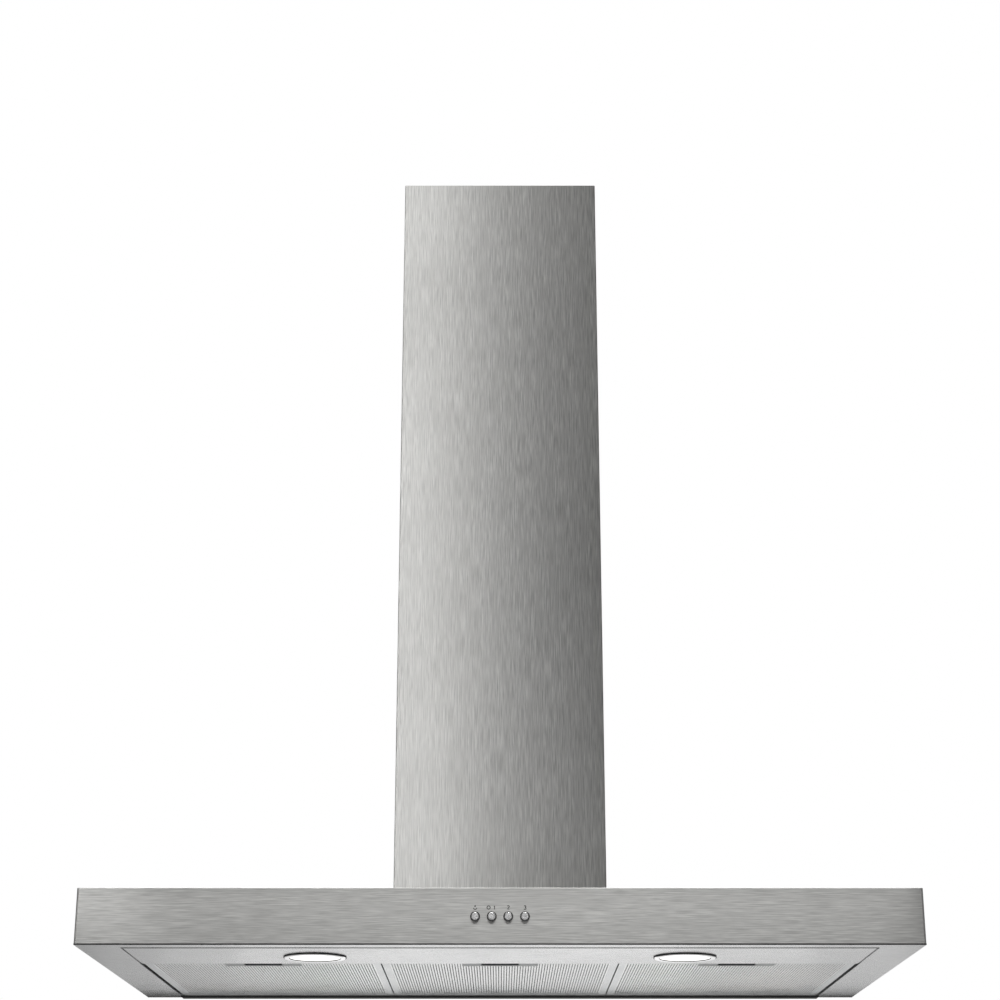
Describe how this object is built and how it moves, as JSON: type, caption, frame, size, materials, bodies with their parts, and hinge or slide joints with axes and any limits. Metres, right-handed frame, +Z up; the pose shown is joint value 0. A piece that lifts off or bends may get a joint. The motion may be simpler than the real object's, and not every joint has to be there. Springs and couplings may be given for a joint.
{
  "type": "chimney range hood",
  "caption": "Wall chimney range hood: slim canopy with front push buttons, round lamps, latched mesh filters below and a telescopic flue over a centrifugal blower.",
  "frame": {"origin": "on the wall plane, at the middle of the canopy's lower rear edge", "axes": "+X to the right seen from the cook, +Y into the wall, +Z up"},
  "size_m": [0.9, 0.503, 1.032],
  "materials": {
    "brushed_sheet": "brushed stainless sheet, satin",
    "underside_sheet": "stainless sheet, fine satin",
    "galvanised": "zinc-coated sheet, dull",
    "filter_metal": "satin aluminium",
    "latch_grey": "grey moulded plastic",
    "black_plastic": "black moulded plastic",
    "white_plastic": "white moulded plastic",
    "blower_plastic": "dark grey moulded plastic",
    "chromed": "polished",
    "button_metal": "turned, satin",
    "lamp_glass": "frosted",
    "spring_steel": "bright wire",
    "cast_alloy": "die cast",
    "motor_steel": "laminated steel, dull",
    "circuit_green": "circuit board",
    "soft_rubber": "matt",
    "steel_screw": "zinc-plated",
    "cable_white": "flexible sheath"
  },
  "bodies": {
    "hood": {"canopy_shell": "brushed_sheet", "underside_frame": "underside_sheet", "lamp_panel": "underside_sheet", "panel_clips": "spring_steel", "wall_plates": "galvanised", "filter_rail": "filter_metal", "lamp_bezels": "chromed", "lamp_lenses": "lamp_glass", "lamp_bodies": "cast_alloy", "lamp_driver": "white_plastic", "terminal_box": "black_plastic", "terminal_box_lid": "black_plastic", "motor_capacitor": "white_plastic", "button_bezels": "button_metal", "button_springs": "spring_steel", "switch_block": "black_plastic", "switch_board": "circuit_green", "switch_nuts": "steel_screw", "blower_box": "galvanised", "scroll_left": "blower_plastic", "scroll_right": "blower_plastic", "motor_housing": "cast_alloy", "motor_end_cover": "cast_alloy", "motor_stator": "motor_steel", "motor_bearings": "chromed", "motor_bracket": "galvanised", "motor_grommets": "soft_rubber", "outlet_collar": "black_plastic", "cable_gland": "black_plastic", "lower_flue": "brushed_sheet", "flue_brackets": "galvanised", "housing_screws": "steel_screw", "wiring": "cable_white"},
    "blower_rotor": {"impeller": "black_plastic", "impeller_nut": "steel_screw", "motor_rotor": "motor_steel", "motor_shaft": "spring_steel"},
    "front_flap": {"flap_front": "black_plastic"},
    "rear_flap": {"flap_rear": "black_plastic"},
    "upper_cover": {"upper_flue": "brushed_sheet", "upper_flue_bracket": "galvanised"},
    "lamp_button_body": {"lamp_button": "button_metal"},
    "low_speed_button_body": {"low_speed_button": "button_metal"},
    "middle_speed_button_body": {"middle_speed_button": "button_metal"},
    "high_speed_button_body": {"high_speed_button": "button_metal"},
    "filter_left": {"filter_frame_left": "filter_metal", "filter_mesh_left": "filter_metal", "latch_cup_left": "latch_grey", "latch_springs_left": "spring_steel"},
    "latch_left": {"filter_latch_left": "black_plastic"},
    "filter_centre": {"filter_frame_centre": "filter_metal", "filter_mesh_centre": "filter_metal", "latch_cup_centre": "latch_grey", "latch_springs_centre": "spring_steel"},
    "latch_centre": {"filter_latch_centre": "black_plastic"},
    "filter_right": {"filter_frame_right": "filter_metal", "filter_mesh_right": "filter_metal", "latch_cup_right": "latch_grey", "latch_springs_right": "spring_steel"},
    "latch_right": {"filter_latch_right": "black_plastic"}
  },
  "joints": [
    {"name": "lamp_button_press", "type": "slide", "parent": "hood", "child": "lamp_button_body", "axis": [0, 1, 0], "range_m": [0, 0.0025], "stiffness_N_per_m": 600, "springref_m": -0.001, "deforming": ["button_springs"]},
    {"name": "low_speed_button_press", "type": "slide", "parent": "hood", "child": "low_speed_button_body", "axis": [0, 1, 0], "range_m": [0, 0.0025], "stiffness_N_per_m": 600, "springref_m": -0.001, "deforming": ["button_springs"]},
    {"name": "middle_speed_button_press", "type": "slide", "parent": "hood", "child": "middle_speed_button_body", "axis": [0, 1, 0], "range_m": [0, 0.0025], "stiffness_N_per_m": 600, "springref_m": -0.001, "deforming": ["button_springs"]},
    {"name": "high_speed_button_press", "type": "slide", "parent": "hood", "child": "high_speed_button_body", "axis": [0, 1, 0], "range_m": [0, 0.0025], "stiffness_N_per_m": 600, "springref_m": -0.001, "deforming": ["button_springs"]},
    {"name": "filter_left_hinge", "type": "hinge", "parent": "hood", "child": "filter_left", "pos_m": [-0.2675, -0.0315, 0.005], "axis": [1, 0, 0], "range_deg": [0, 60]},
    {"name": "latch_left_slide", "type": "slide", "parent": "filter_left", "child": "latch_left", "axis": [0, 1, 0], "range_m": [0, 0.005], "stiffness_N_per_m": 300, "springref_m": -0.002, "deforming": ["latch_springs_left"]},
    {"name": "filter_centre_hinge", "type": "hinge", "parent": "hood", "child": "filter_centre", "pos_m": [0, -0.0315, 0.005], "axis": [1, 0, 0], "range_deg": [0, 60]},
    {"name": "latch_centre_slide", "type": "slide", "parent": "filter_centre", "child": "latch_centre", "axis": [0, 1, 0], "range_m": [0, 0.005], "stiffness_N_per_m": 300, "springref_m": -0.002, "deforming": ["latch_springs_centre"]},
    {"name": "filter_right_hinge", "type": "hinge", "parent": "hood", "child": "filter_right", "pos_m": [0.2675, -0.0315, 0.005], "axis": [1, 0, 0], "range_deg": [0, 60]},
    {"name": "latch_right_slide", "type": "slide", "parent": "filter_right", "child": "latch_right", "axis": [0, 1, 0], "range_m": [0, 0.005], "stiffness_N_per_m": 300, "springref_m": -0.002, "deforming": ["latch_springs_right"]},
    {"name": "rotor_spin", "type": "hinge", "parent": "hood", "child": "blower_rotor", "pos_m": [0, -0.1515, 0.165], "axis": [1, 0, 0], "continuous": true},
    {"name": "front_flap_hinge", "type": "hinge", "parent": "hood", "child": "front_flap", "pos_m": [0, -0.1057, 0.33], "axis": [-1, 0, 0], "range_deg": [0, 80]},
    {"name": "rear_flap_hinge", "type": "hinge", "parent": "hood", "child": "rear_flap", "pos_m": [0, -0.0993, 0.33], "axis": [1, 0, 0], "range_deg": [0, 80]},
    {"name": "flue_telescope", "type": "slide", "parent": "hood", "child": "upper_cover", "axis": [0, 0, 1], "range_m": [0, 0.3]}
  ]
}
